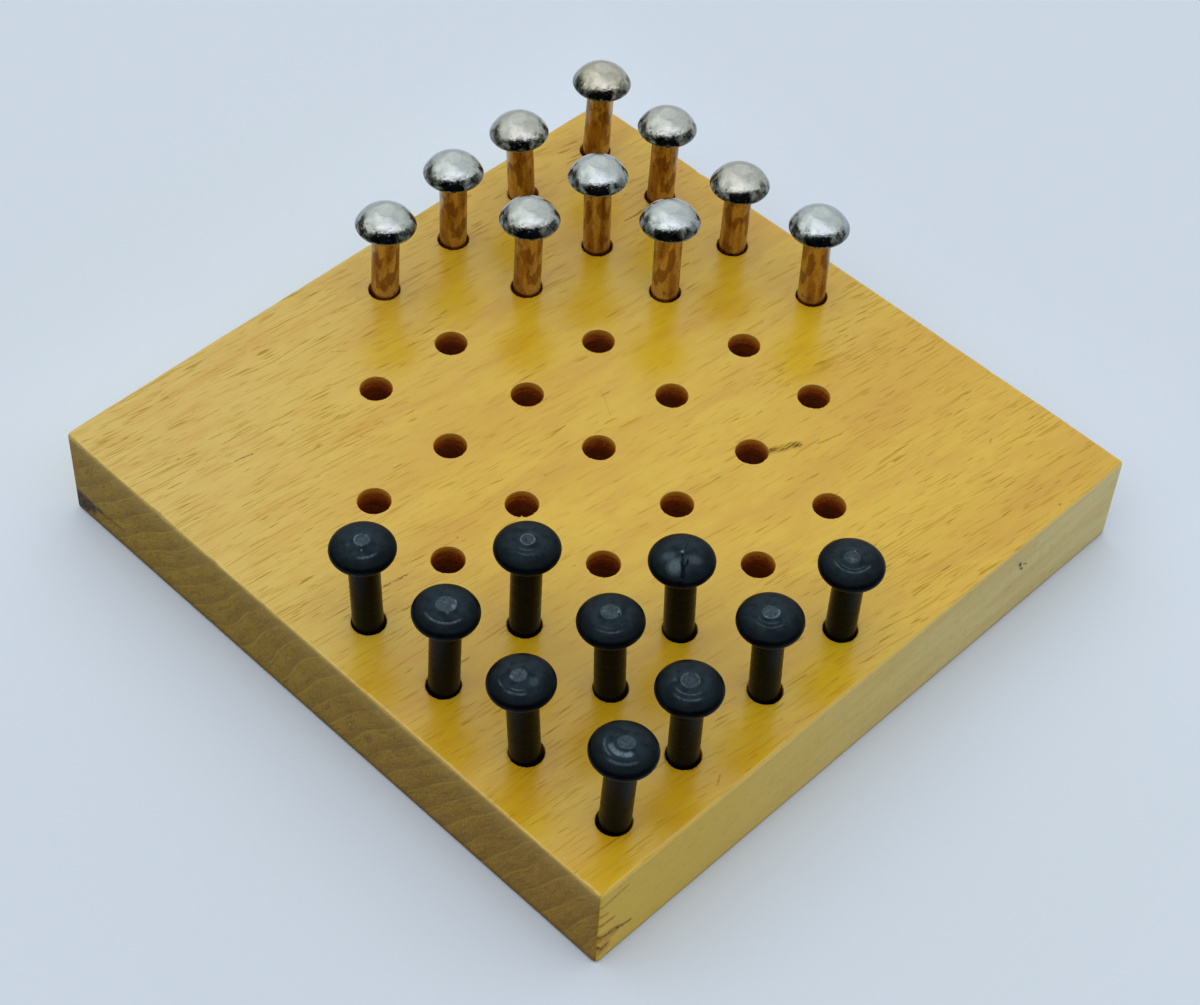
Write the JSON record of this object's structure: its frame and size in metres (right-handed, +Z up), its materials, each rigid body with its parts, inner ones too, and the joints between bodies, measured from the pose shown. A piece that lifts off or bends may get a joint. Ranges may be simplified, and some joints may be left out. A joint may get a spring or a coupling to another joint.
{
  "type": "halma board game",
  "caption": "Small square wooden peg board with a hexagonal field of blind holes and two sets of loose rivet-shaped pegs, silver and black, that lift out.",
  "frame": {"origin": "middle of the board's underside", "axes": "+Z up out of the holes, +X along the grain from the black corner's side, +Y across the grain; the black camp fills the corner at -X -Y, the silver camp the corner at +X +Y"},
  "size_m": [0.105, 0.105, 0.0325],
  "materials": {
    "board_wood": "honey-coloured hardwood under a thin glossy varnish, end grain on the two short-grain sides",
    "silver_metal": "bright plated head with fine scratches, tarnished coppery shank",
    "black_finish": "satin blue-black with turning rings on the head"
  },
  "bodies": {
    "board": {"board": "board_wood"},
    "silver_peg_01": {"silver_peg_01": "silver_metal"},
    "silver_peg_02": {"silver_peg_02": "silver_metal"},
    "silver_peg_03": {"silver_peg_03": "silver_metal"},
    "silver_peg_04": {"silver_peg_04": "silver_metal"},
    "silver_peg_05": {"silver_peg_05": "silver_metal"},
    "silver_peg_06": {"silver_peg_06": "silver_metal"},
    "silver_peg_07": {"silver_peg_07": "silver_metal"},
    "silver_peg_08": {"silver_peg_08": "silver_metal"},
    "silver_peg_09": {"silver_peg_09": "silver_metal"},
    "silver_peg_10": {"silver_peg_10": "silver_metal"},
    "black_peg_01": {"black_peg_01": "black_finish"},
    "black_peg_02": {"black_peg_02": "black_finish"},
    "black_peg_03": {"black_peg_03": "black_finish"},
    "black_peg_04": {"black_peg_04": "black_finish"},
    "black_peg_05": {"black_peg_05": "black_finish"},
    "black_peg_06": {"black_peg_06": "black_finish"},
    "black_peg_07": {"black_peg_07": "black_finish"},
    "black_peg_08": {"black_peg_08": "black_finish"},
    "black_peg_09": {"black_peg_09": "black_finish"},
    "black_peg_10": {"black_peg_10": "black_finish"}
  },
  "joints": [
    {"name": "silver_peg_01_lift", "type": "slide", "parent": "board", "child": "silver_peg_01", "axis": [0.0185, -0.0185, 0.9997], "range_m": [0, 0.035]},
    {"name": "silver_peg_02_lift", "type": "slide", "parent": "board", "child": "silver_peg_02", "axis": [-0.037, 0.037, 0.9986], "range_m": [0, 0.035]},
    {"name": "silver_peg_03_lift", "type": "slide", "parent": "board", "child": "silver_peg_03", "axis": [0.0123, -0.0123, 0.9998], "range_m": [0, 0.035]},
    {"name": "silver_peg_04_lift", "type": "slide", "parent": "board", "child": "silver_peg_04", "axis": [0, 0, 1], "range_m": [0, 0.035]},
    {"name": "silver_peg_05_lift", "type": "slide", "parent": "board", "child": "silver_peg_05", "axis": [-0.0185, 0.0185, 0.9997], "range_m": [0, 0.035]},
    {"name": "silver_peg_06_lift", "type": "slide", "parent": "board", "child": "silver_peg_06", "axis": [0.0062, -0.0062, 1], "range_m": [0, 0.035]},
    {"name": "silver_peg_07_lift", "type": "slide", "parent": "board", "child": "silver_peg_07", "axis": [0.0185, -0.0185, 0.9997], "range_m": [0, 0.035]},
    {"name": "silver_peg_08_lift", "type": "slide", "parent": "board", "child": "silver_peg_08", "axis": [0.0062, -0.0062, 1], "range_m": [0, 0.035]},
    {"name": "silver_peg_09_lift", "type": "slide", "parent": "board", "child": "silver_peg_09", "axis": [-0.0062, 0.0062, 1], "range_m": [0, 0.035]},
    {"name": "silver_peg_10_lift", "type": "slide", "parent": "board", "child": "silver_peg_10", "axis": [-0.0123, 0.0123, 0.9998], "range_m": [0, 0.035]},
    {"name": "black_peg_01_lift", "type": "slide", "parent": "board", "child": "black_peg_01", "axis": [0.0185, -0.0185, 0.9997], "range_m": [0, 0.035]},
    {"name": "black_peg_02_lift", "type": "slide", "parent": "board", "child": "black_peg_02", "axis": [-0.037, 0.037, 0.9986], "range_m": [0, 0.035]},
    {"name": "black_peg_03_lift", "type": "slide", "parent": "board", "child": "black_peg_03", "axis": [-0.0062, 0.0062, 1], "range_m": [0, 0.035]},
    {"name": "black_peg_04_lift", "type": "slide", "parent": "board", "child": "black_peg_04", "axis": [0.0123, -0.0123, 0.9998], "range_m": [0, 0.035]},
    {"name": "black_peg_05_lift", "type": "slide", "parent": "board", "child": "black_peg_05", "axis": [-0.0247, 0.0247, 0.9994], "range_m": [0, 0.035]},
    {"name": "black_peg_06_lift", "type": "slide", "parent": "board", "child": "black_peg_06", "axis": [-0.0247, 0.0247, 0.9994], "range_m": [0, 0.035]},
    {"name": "black_peg_07_lift", "type": "slide", "parent": "board", "child": "black_peg_07", "axis": [-0.0185, 0.0185, 0.9997], "range_m": [0, 0.035]},
    {"name": "black_peg_08_lift", "type": "slide", "parent": "board", "child": "black_peg_08", "axis": [0, 0, 1], "range_m": [0, 0.035]},
    {"name": "black_peg_09_lift", "type": "slide", "parent": "board", "child": "black_peg_09", "axis": [-0.0247, 0.0247, 0.9994], "range_m": [0, 0.035]},
    {"name": "black_peg_10_lift", "type": "slide", "parent": "board", "child": "black_peg_10", "axis": [0, 0, 1], "range_m": [0, 0.035]}
  ]
}
